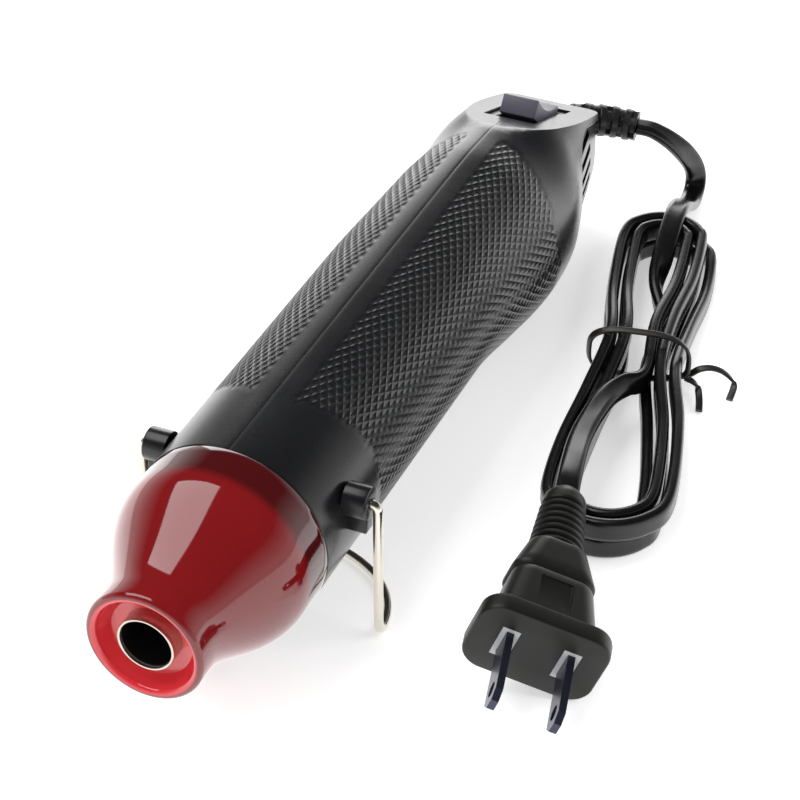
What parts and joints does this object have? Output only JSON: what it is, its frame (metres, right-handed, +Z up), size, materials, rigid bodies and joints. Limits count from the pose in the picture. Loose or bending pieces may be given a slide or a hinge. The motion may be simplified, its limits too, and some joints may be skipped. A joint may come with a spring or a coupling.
{
  "type": "embossing heat tool",
  "caption": "Hand-held heat tool with a flared outlet shroud, textured barrel handle, hooded rear end with rocker switch and vents, wire stand and a corded two-blade plug.",
  "frame": {"origin": "bottom centre of the tool's box without the cord, on the table", "axes": "-Y out of the nozzle along the barrel, +Y to the rear end, +Z up, +X to the side where the cord lies"},
  "size_m": [0.1018, 0.2339, 0.0479],
  "materials": {
    "body": "matte charcoal plastic, textured side panels",
    "shroud": "glossy translucent red plastic",
    "rocker": "satin grey plastic",
    "inner_plastic": "plain moulded plastic",
    "mica": "pressed mica sheet",
    "heater_wire": "drawn resistance wire",
    "steel": "plain steel",
    "brass": "stamped brass",
    "board": "green laminate",
    "nickel": "bright nickel-plated wire",
    "cord": "soft black plastic",
    "blades": "dark plated blades",
    "insert": "pale moulded insert"
  },
  "bodies": {
    "tool": {"right_shell": "body", "left_shell": "body", "nozzle_shroud": "shroud", "outlet_tube": "steel", "mica_tube": "mica", "heater_cross": "mica", "heater_coil": "heater_wire", "heater_disc": "mica", "thermal_cutout": "steel", "fan_duct": "inner_plastic", "motor_can": "steel", "motor_end_cap": "inner_plastic", "rectifier_board": "board", "rectifier_diodes": "inner_plastic", "switch_housing": "inner_plastic", "switch_terminals": "brass", "case_screws": "steel", "cord_clamp": "inner_plastic", "cord_boot": "cord", "cord_lead": "cord", "cord_hank": "cord", "cord_tail": "cord", "cord_tie": "cord", "plug_body": "cord", "plug_blades": "blades", "plug_inserts": "insert"},
    "fan": {"fan_rotor": "inner_plastic", "motor_shaft": "steel"},
    "rocker": {"switch_rocker": "rocker"},
    "stand": {"stand_bail": "nickel"}
  },
  "joints": [
    {"name": "fan_spin", "type": "hinge", "parent": "tool", "child": "fan", "pos_m": [0, 0, 0.0275], "axis": [0, 1, 0], "continuous": true},
    {"name": "rocker_tilt", "type": "hinge", "parent": "tool", "child": "rocker", "pos_m": [0, 0.08588, 0.0355], "axis": [1, 0, 0], "range_deg": [0, 24]},
    {"name": "stand_swing", "type": "hinge", "parent": "tool", "child": "stand", "pos_m": [0, -0.0565, 0.0338], "axis": [1, 0, 0], "range_deg": [-80, 4]}
  ]
}
